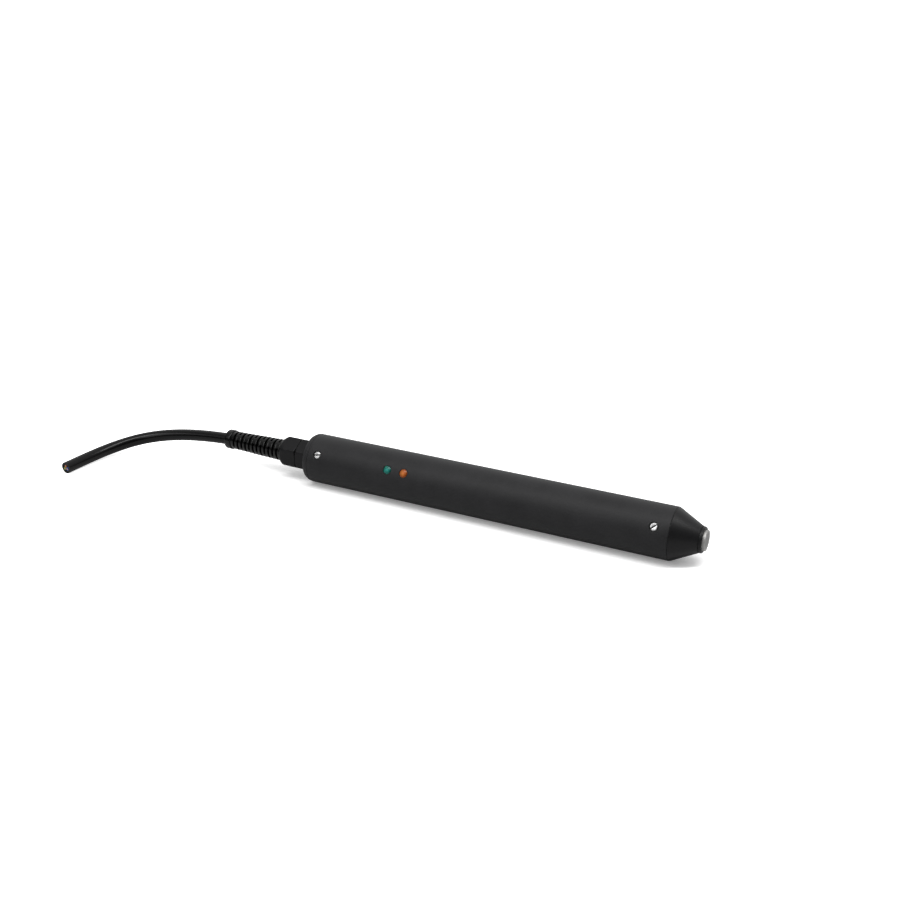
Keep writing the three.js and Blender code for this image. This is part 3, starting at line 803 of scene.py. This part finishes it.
def nose():
    """The tapered nose, with a fine groove round its lip and a spigot that fits in the barrel."""
    front = span("nose_cone")[0]
    bore = 6.1
    groove_end = 2.3
    groove_radius = 7.0
    seam = BARREL_FRONT - 0.1
    spigot_end = seam + 8
    spigot_radius = 11.6
    socket_floor = 14
    socket_radius = 8.5
    return turned(
        "nose_cap",
        [
            (front, bore, 0.1),
            (front, 7.2, 0.22),
            (groove_end - 0.42, 7.4, 0.06),
            (groove_end - 0.40, groove_radius, 0),
            (groove_end, groove_radius, 0),
            (groove_end + 0.02, 7.5, 0.1),
            (seam, BODY_RADIUS, 0.25),
            (seam, spigot_radius, 0),
            (spigot_end, spigot_radius, 0),
            (spigot_end, socket_radius, 0),
            (socket_floor, socket_radius, 0),
            (socket_floor, bore, 0),
        ],
        sides=128,
        sharp_degrees=25,
    )


def plug():
    """The barrel's rounded rear end, with a seat for the gland."""
    front = BARREL_END + 0.1
    bore = 6.2
    return turned(
        "rear_cap",
        [
            (front, bore, 0),
            (front, BODY_RADIUS, 0.15),
            (front + 0.6, BODY_RADIUS, 0.5),
            (front + 2.2, BODY_RADIUS - 0.32, 0.8),
            (front + 3.4, BODY_RADIUS - 1.0, 0.6),
            (REAR_FACE, BODY_RADIUS - 2.2, 0.3),
            (REAR_FACE, SPOT_FACE_RADIUS, 0.05),
            (REAR_FACE - 0.2, SPOT_FACE_RADIUS, 0),
            (REAR_FACE - 0.2, bore, 0.1),
        ],
        sides=128,
    )


def tip():
    """The flat metal disc at the nose and the shank behind it."""
    disc_back = 2.0
    radius = reach("heated_tip")
    shank_end = 24
    shank_radius = 3.5
    return turned(
        "tip_face",
        [
            (-TIP_LEAD, 0, 0),
            (-TIP_LEAD, radius, 0.3),
            (disc_back, radius, 0.1),
            (disc_back, shank_radius, 0.2),
            (shank_end, shank_radius, 0.2),
            (shank_end, 0, 0),
        ],
        sides=128,
    )


stand_for(nose(), "nose_plastic", "handpiece", "nose_cone")
stand_for(plug(), "black_plastic", "handpiece", "rear_plug")
stand_for(tip(), "nickel", "handpiece", "heated_tip")


# ---- Screws and lamps ----

def stand_on_barrel(made, station, angle, height):
    """Puts a piece that stands on its own +Z on the barrel at a station and an angle."""
    outward = Vector((0, math.cos(angle), math.sin(angle)))
    along = Vector((1, 0, 0))
    turn = Matrix((along, outward.cross(along), outward)).transposed()
    place = at(station) + outward * height
    made.matrix_world = Matrix.Translation(place * MM) @ turn.to_4x4()
    return made


def slotted_screw(name, slot_degrees):
    """A cheese-head screw whose slot is turned by so many degrees."""
    shank_end, shank_radius = -4, 1.2
    head_base, head_shoulder = -1.5, -0.28
    made = turned_up(
        name,
        [
            (shank_end, 0, 0),
            (shank_end, shank_radius, 0),
            (head_base, shank_radius, 0.1),
            (head_base, SCREW_HEAD_RADIUS, 0.1),
            (head_shoulder, SCREW_HEAD_RADIUS, 0.18),
            (0, SCREW_HEAD_RADIUS - 0.5, 0.3),
            (0, 0, 0),
        ],
    )
    slot_half, slot_depth = 0.38, 0.65
    tool = block("slot_tool", (-4, -slot_half, -slot_depth), (4, slot_half, 2))
    tool.data.transform(Matrix.Rotation(math.radians(slot_degrees), 4, "Z"))
    return carve(made, tool, edge=0.05)


SCREWS = [  # each screw's node, its place on the barrel and the turn of its slot in degrees
    ("nose_screw", NOSE_SCREW_STATION, LAMP_ANGLE, 42),
    ("rear_screw", REAR_SCREW_STATION, LAMP_ANGLE, 10.5),
    ("nose_screw_far", NOSE_SCREW_STATION, FAR_ANGLE, 10.5),
    ("rear_screw_far", REAR_SCREW_STATION, FAR_ANGLE, 42),
]
for node, station, angle, slot_degrees in SCREWS:
    screw = slotted_screw("slotted_" + node, slot_degrees)
    stand_on_barrel(screw, station, angle, SCREW_TOP)
    stand_for(screw, "steel", "handpiece", node)


def lamp_cap(name):
    """A flat-domed lens whose rim stands just clear of its hole."""
    base = -4.5
    return turned_up(
        name,
        [
            (base, 0, 0),
            (base, LAMP_RADIUS, 0.1),
            (-0.75, LAMP_RADIUS, 0.35),
            (-0.12, LAMP_RADIUS * 0.62, 1.6),
            (0, 0, 0),
        ],
    )


for node, station in (("orange_lens", ORANGE_STATION), ("green_lens", GREEN_STATION)):
    cap = lamp_cap(node + "_cap")
    stand_on_barrel(cap, station, LAMP_ANGLE, LAMP_TOP)
    stand_for(cap, node, "handpiece", node)


# ---- Cable gland ----

ACROSS_FLATS = 18
GLAND_CORNER = 10.25  # the hexagons' corners are rounded down to this radius
FACE_RADIUS = GLAND_CORNER - 0.9  # the hexagons' ends are turned down to this
EDGE_SOFTNESS = 0.35  # how widely two of a hexagon's surfaces run into one another
THREAD_RADIUS = 5.9
THREAD_PITCH = 1.5
THREAD_DEPTH = 0.8
COLLAR_LENGTH, COLLAR_RADIUS = 0.3, 5.1  # the undercut between the hexagon and the thread
CONE_LENGTH = 1.1  # of the turned cone that breaks a hexagon's corners at each end
END_ROWS = 1.4  # rows stand close together this far from a hexagon's end
CLEAR_RADIUS = GLAND_CORNER + 0.75  # a profile this wide leaves the hexagon whole


def hexagon_radius(angle):
    """A hexagon with a corner at the top."""
    sector = math.radians(60)
    aside = (angle + sector / 2) % sector - sector / 2
    return ACROSS_FLATS / 2 / math.cos(aside)


# Angles across one side of a hexagon, close together at its corners.
HEX_STEPS = (-30, -29.6, -29.2, -28.6, -27.8, -26.5, -22, -12, 0, 12, 22, 26.5, 27.8, 28.6, 29.2, 29.6)
HEX_TURNS = [math.radians(60 * side + step) for side in range(6) for step in HEX_STEPS]


def hexagon_rows(stations, profile):
    """Rows that follow a turned profile where it is narrower than the hexagon bar."""
    rows = []
    for station in stations:
        turned_radius = along_profile(profile, station)
        row = []
        for angle in HEX_TURNS:
            bar = soft_minimum(hexagon_radius(angle), GLAND_CORNER, EDGE_SOFTNESS)
            row.append(on_axis(station, soft_minimum(bar, turned_radius, EDGE_SOFTNESS), angle))
        rows.append(row)
    return rows


def gland_body():
    """The hexagon that is screwed into the rear plug, and the thread that the nut runs on."""
    front = span("gland_o_ring")[1] + 0.15
    profile = [
        (front, FACE_RADIUS),
        (front + CONE_LENGTH, CLEAR_RADIUS),
        (GLAND_HEX_END - CONE_LENGTH, CLEAR_RADIUS),
        (GLAND_HEX_END, FACE_RADIUS),
    ]
    stations = evenly(front, front + END_ROWS, 12)
    stations += evenly(GLAND_HEX_END - END_ROWS, GLAND_HEX_END, 12)
    sides = hexagon_rows(stations, profile)
    hexagon = loft("gland_hexagon", sides, sharp_degrees=50)

    def thread_radius(station, angle):
        turn = (station / THREAD_PITCH + angle / (2 * math.pi)) % 1
        crest = THREAD_RADIUS - THREAD_DEPTH * abs(2 * turn - 1)
        return soft_minimum(crest, THREAD_RADIUS - 0.1, 0.2)

    thread_start = GLAND_HEX_END + COLLAR_LENGTH
    end = span("gland_body")[1]
    bore = 4.8
    turns = around(96)
    rows = [[on_axis(s, COLLAR_RADIUS, a) for a in turns] for s in (GLAND_HEX_END, thread_start)]
    rows += [[on_axis(s, thread_radius(s, a), a) for a in turns] for s in evenly(thread_start, end, 60)]
    rows += [[on_axis(s, bore, a) for a in turns] for s in (end, end - 6)]
    thread = loft("gland_thread", rows, sharp_degrees=60)
    faces = []
    for station, outline in ((front, sides[0]), (GLAND_HEX_END, sides[-1])):
        inner = [on_axis(station, bore + 0.1, a) for a in HEX_TURNS]
        faces.append(loft("gland_face", [outline, inner]))
    return merged("gland_seat", hexagon, thread, *faces)


def gland_nut():
    """The dome nut: a hexagon bar whose outer end is turned to a rounded dome."""
    profile = [
        (NUT_FRONT, FACE_RADIUS),
        (NUT_FRONT + 1.0, CLEAR_RADIUS),
        (NUT_END - 5.9, GLAND_CORNER + 0.6),
        (NUT_END - 4.4, GLAND_CORNER - 0.05),
        (NUT_END - 3.0, 9.65),
        (NUT_END - 1.7, 8.95),
        (NUT_END - 0.8, 8.35),
        (NUT_END - 0.2, 7.85),
        (NUT_END, 7.4),
    ]
    stations = evenly(NUT_FRONT, NUT_FRONT + END_ROWS, 12) + evenly(NUT_END - 6, NUT_END, 40)
    rows = hexagon_rows(stations, profile)
    mouth, bore = 5.05, 6.3
    shoulder = NUT_END - 1.9
    for station, radius in ((NUT_END, mouth), (shoulder, mouth), (shoulder, bore), (NUT_FRONT, bore)):
        rows.append([on_axis(station, radius, a) for a in HEX_TURNS])
    rows.append(rows[0])
    return loft("dome_nut", rows, sharp_degrees=50)


def o_ring():
    """The seal pinched between the gland and the rear plug."""
    front, end = span("gland_o_ring")
    outer = reach("gland_o_ring")
    return turned(
        "gland_seal_ring",
        [(front, outer - 1, 0.1), (front, outer, 0.2), (end, outer, 0.2), (end, outer - 1, 0.1)],
    )


stand_for(gland_body(), "gland_nylon", "handpiece", "gland_body")
stand_for(gland_nut(), "gland_nylon", "gland_nut", "gland_nut")
stand_for(o_ring(), "seal_rubber", "handpiece", "gland_o_ring")


# ---- Boot ----

SLOT_PITCH = 3.0
SLOT_HALF = 0.72  # half a slot's width along the cable
SLOT_WALL = 0.10  # the length along the cable that a slot's wall takes to fall
SLOT_DEPTH = 1.7
SLOT_ROWS = range(-6, 6)  # counted from the row at the seam between the boot's two pieces
WEB_HALF = math.radians(17)  # half of the bridge left between the two slots of a row
WEB_FLARE = math.radians(5)  # over which a slot reaches its full depth beside a bridge
WEB_ANGLE = LAMP_ANGLE - math.radians(15)
CROWN_HEIGHT, CROWN_HALF = 0.10, 0.5  # each rib between slots is slightly domed
RING_LENGTH = 4.4
TAIL_RADIUS = 5.6
BOOT_PROFILE = [(267.5, 6.7), (275, 6.5), (285, 6.25), (295, 5.9), (305, 5.65), (311, TAIL_RADIUS)]


def boot_radius(station, angle):
    """The tapering boot, with slots in pairs; each row of slots is a quarter turn from the last."""
    skin = along_profile(BOOT_PROFILE, station)
    row = round((station - BOOT_SEAM) / SLOT_PITCH)
    if row not in SLOT_ROWS:
        return skin
    aside = abs(station - BOOT_SEAM - row * SLOT_PITCH)
    inside = 1 - smooth_step(SLOT_HALF - SLOT_WALL, SLOT_HALF, aside)
    web = WEB_ANGLE + (math.pi / 2 if row % 2 else 0)
    from_web = abs((angle - web + math.pi / 2) % math.pi - math.pi / 2)
    open_share = smooth_step(WEB_HALF, WEB_HALF + WEB_FLARE, from_web)
    crown = CROWN_HEIGHT * (1 - smooth_step(0, CROWN_HALF, abs(aside - SLOT_PITCH / 2)))
    return skin + crown - SLOT_DEPTH * inside * open_share


def slot_stations(start, end):
    """Stations for the boot's rows, close together at the walls of its slots."""
    stations = {start, end}
    for row in SLOT_ROWS:
        centre = BOOT_SEAM + row * SLOT_PITCH
        for aside in (0, SLOT_HALF - SLOT_WALL * 2, SLOT_HALF - SLOT_WALL, SLOT_HALF - SLOT_WALL / 2,
                      SLOT_HALF, SLOT_HALF + 0.12, SLOT_PITCH / 2 - 0.3, SLOT_PITCH / 2):
            stations.update((round(centre - aside, 4), round(centre + aside, 4)))
    return [s for s in sorted(stations) if start <= s <= end]


def boot_rows(stations, before=(), after=()):
    """Rows over the slotted skin, with plain turned rows before and after them."""
    turns = around(120)
    rows = [[on_axis(s, r, a) for a in turns] for s, r in before]
    rows += [[on_axis(s, boot_radius(s, a), a) for a in turns] for s in stations]
    rows += [[on_axis(s, r, a) for a in turns] for s, r in after]
    return rows


def boot_front():
    """The front half of the boot, from its neck inside the nut to the seam."""
    start = BOOT_PROFILE[0][0]
    neck = 4.8
    before = [(start - 3.4, neck), (start, neck)]
    before += [(start, 6.45), (start + 0.07, 6.62)]  # the flange's broken edge
    return loft("boot_front_half", boot_rows(slot_stations(start + 0.25, BOOT_SEAM), before=before))


def boot_back():
    """The rear half of the boot, which ends in a rounded ring."""
    ring = BOOT_END - RING_LENGTH
    outer = reach("boot_tail")
    edge = 0.7
    after = [(ring, TAIL_RADIUS)]
    for step in range(1, 6):
        turn = math.radians(18 * step)
        rise = (outer - TAIL_RADIUS) * math.sin(turn)
        after.append((ring + edge * (1 - math.cos(turn)) * 0.8, TAIL_RADIUS + rise))
    after += [(BOOT_END - back, outer - drop) for back, drop in quarter_round(edge, 6)]
    mouth = CABLE_RADIUS + 0.2  # the hole that the cable leaves by
    after += [(BOOT_END, mouth + 0.3), (BOOT_END - 0.3, mouth), (BOOT_END - 5, mouth)]
    return loft("boot_back_half", boot_rows(slot_stations(BOOT_SEAM, ring - 0.2), after=after))


front_half = finish_as(boot_front(), "boot_rubber")
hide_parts("boot_base", "boot_middle")
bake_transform(front_half)
back_half = finish_as(boot_back(), "boot_rubber")
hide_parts("boot_tail")
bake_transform(back_half)


# ---- Cable ----

REST_LEVEL = FLOOR_LEVEL + CABLE_RADIUS
CABLE_BENDS = [  # the ends and handles of the curve that the cable follows
    at(301),
    at(364.6) + Vector((0, -1.5, -0.8)),
    at(387) + Vector((0, -10.9, REST_LEVEL)),
    at(390.3) + Vector((0, -63.2, REST_LEVEL)),
]
HOLLOW_FROM = 0.86  # the cores show from here to the cut end
CABLE_BORE = 2.35
BORE_DEPTH = 6
BORE_CENTRE = 0.01  # the bore's floor closes to a ring this small
CUT_EDGE = 0.12  # how far the cut end's edge is broken
CORE_RADIUS = 0.95
CORE_OFFSET = 1.2
CONDUCTOR_RADIUS = 0.5


def cable_point(place):
    """A point on the cable's curve, for a place from 0 at the boot to 1 at the cut end."""
    a, b, c, d = CABLE_BENDS
    rest = 1 - place
    return a * rest ** 3 + b * 3 * rest ** 2 * place + c * 3 * rest * place ** 2 + d * place ** 3


def beside(centre, direction, radius, angle):
    """A point at a radius and an angle round a line that runs in a direction."""
    across = UP.cross(direction).normalized()
    upward = direction.cross(across)
    return centre + (across * math.cos(angle) + upward * math.sin(angle)) * radius


def cable_jacket():
    """The jacket, with a shallow bore at its cut end that the cores stand in."""
    steps = 170
    line = [cable_point(i / steps) for i in range(steps + 1)]
    turns = around(48)
    rings = []
    for i, centre in enumerate(line):
        rings.append((centre, line[min(i + 1, steps)] - line[max(i - 1, 0)], CABLE_RADIUS))
    end = line[-1]
    step = line[-1] - line[-2]
    along = step.normalized()
    bore_floor = end - along * BORE_DEPTH
    rings[-1] = (end - along * CUT_EDGE, step, CABLE_RADIUS)
    rings.append((end, step, CABLE_RADIUS - CUT_EDGE))
    rings.append((end, step, CABLE_BORE))
    rings.append((bore_floor, step, CABLE_BORE))
    rings.append((bore_floor, step, BORE_CENTRE))
    rows = [[beside(centre, way.normalized(), r, a) for a in turns] for centre, way, r in rings]
    return loft("cable_run", rows)


def cable_core(name, turn_degrees):
    """One insulated core at the cut end, and its bared conductor."""
    line = []
    for place in evenly(HOLLOW_FROM, 1, 13):
        along = (cable_point(min(place + 0.01, 1)) - cable_point(place - 0.01)).normalized()
        line.append(beside(cable_point(place), along, CORE_OFFSET, math.radians(turn_degrees)))
    along = (line[-1] - line[-2]).normalized()
    core = swept(name, line, CORE_RADIUS, sides=24)
    bared = [line[-1] - along * 0.5, line[-1] + along * 0.06]
    conductor = swept(name + "_conductor", bared, CONDUCTOR_RADIUS, sides=16)
    return core, conductor


jacket = finish_as(cable_jacket(), "cable_jacket")
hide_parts("cable_near", "cable_far")
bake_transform(jacket)
CORES = [
    ("outer_core_brown", "brown_insulation"),
    ("outer_core_earth", "green_yellow_insulation"),
    ("outer_core_blue", "blue_insulation"),
]
for i, (node, slot) in enumerate(CORES):
    core, conductor = cable_core(node + "_end", 90 + 120 * i)
    stand_for(core, slot, "cable_outer", node)
    conductor.data.materials.append(COPPER)
    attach(conductor, "cable_outer")


# ---- Materials of the CAD pieces that stay ----

for part in frame["record"]["subparts"]:
    cad_piece = frame["nodes"][part["node"]]
    cad_piece.data.materials.clear()
    cad_piece.data.materials.append(MATERIALS[part["material_slot"]])


# ---- Floor, light and camera ----

FLOOR_PALE = 0.9  # the floor's paleness as the camera sees it
FLOOR_BOUNCE = 0.6  # and as the object sees it
NEAR_GLOW = 0.2  # lifts the floor to white for the camera only, so that its shadows stay pale
FAR_GLOW = 0.7  # the lift beyond the barrel's ends, where no shadow is seen
GLOW_REACH = (0.135, 0.2)  # it grows between these distances in metres from GLOW_MIDDLE
GLOW_MIDDLE = (-0.125, 0, FLOOR_LEVEL * MM)  # under the barrel's middle
FLOOR_HALF = 20000  # half of the floor's width


def floor():
    """A plain floor that is pale to the camera and duller to the light that it throws back."""
    corners = [(-1, -1), (1, -1), (1, 1), (-1, 1)]
    points = [(x * FLOOR_HALF, y * FLOOR_HALF, FLOOR_LEVEL) for x, y in corners]
    made = make_object("floor", points, [(0, 1, 2, 3)])
    shader = Shader("pale_floor")
    seen = shader.node("ShaderNodeLightPath").outputs["Is Camera Ray"]
    away = shader.node("ShaderNodeVectorMath", {0: shader.place, 1: GLOW_MIDDLE}, operation="DISTANCE")
    glow = shader.smooth_range(away.outputs["Value"], GLOW_REACH, (NEAR_GLOW, FAR_GLOW))
    shader.set(
        Base_Color=shader.math("MULTIPLY_ADD", seen, FLOOR_PALE - FLOOR_BOUNCE, FLOOR_BOUNCE),
        Roughness=0.9,
        Specular_IOR_Level=0.0,
        Emission_Color=(1, 1, 1, 1),
        Emission_Strength=shader.math("MULTIPLY", seen, glow),
    )
    made.data.materials.append(shader.material)


SKY_FACING = (0, 0.75, 0.66)  # the world is brightest this way
SKY_TURNS = (-0.2, 1.0)  # it brightens between these cosines of the angle to it
SKY_LEVELS = (0.12, 1.2)  # from this strength to this one
LIGHT_TARGET = Vector((-0.18, 0, 0))
LIGHTS = [  # each softbox's name, place, size in metres and power in watts
    ("softbox_above", Vector((-0.02, -0.26, 1.08)), (1.7, 0.26), 15),
    ("softbox_front", Vector((-0.5, -0.8, 0.7)), (0.8, 0.6), 3.5),
]


def area_light(name, place, size, power):
    """A rectangular softbox that faces the object."""
    data = bpy.data.lights.new(name, "AREA")
    data.shape = "RECTANGLE"
    data.size, data.size_y = size
    data.energy = power
    made = bpy.data.objects.new(name, data)
    bpy.context.scene.collection.objects.link(made)
    made.location = place
    made.rotation_euler = (LIGHT_TARGET - place).to_track_quat("-Z", "Y").to_euler()


def studio():
    """A soft world, brighter behind the object and white to the camera, and two softboxes."""
    world = bpy.data.worlds.new("studio")
    world.use_nodes = True
    bpy.context.scene.world = world
    sky = Nodes(world.node_tree)
    way = sky.node("ShaderNodeTexCoord").outputs["Generated"]
    facing = sky.node("ShaderNodeVectorMath", {0: way, 1: SKY_FACING}, operation="DOT_PRODUCT")
    level = sky.smooth_range(facing.outputs["Value"], SKY_TURNS, SKY_LEVELS)
    seen = sky.node("ShaderNodeLightPath").outputs["Is Camera Ray"]
    background = world.node_tree.nodes["Background"].inputs
    sky.put(background["Color"], (1, 1, 1, 1))
    sky.put(background["Strength"], sky.math("MAXIMUM", level, seen))
    for light in LIGHTS:
        area_light(*light)


CAMERA_AZIMUTH = math.radians(26.505)  # from -Y towards +X
CAMERA_ELEVATION = math.radians(23.613)
CAMERA_PLACE = (0.1188, -0.54448, 0.28883)
CAMERA_LENS = 45.98  # on a sensor 36 mm wide


def camera():
    """The view of the whole object from its lamps' side, from above and a little towards its nose."""
    data = bpy.data.cameras.new("camera")
    data.lens = CAMERA_LENS
    data.sensor_width = 36
    data.clip_start = 0.01
    made = bpy.data.objects.new("camera", data)
    bpy.context.scene.collection.objects.link(made)
    level = math.cos(CAMERA_ELEVATION)
    back = Vector((
        math.sin(CAMERA_AZIMUTH) * level,
        -math.cos(CAMERA_AZIMUTH) * level,
        math.sin(CAMERA_ELEVATION),
    ))
    made.location = CAMERA_PLACE
    made.rotation_euler = (-back).to_track_quat("-Z", "Y").to_euler()
    bpy.context.scene.camera = made


floor()
studio()
camera()
bpy.context.scene.view_settings.view_transform = "Standard"
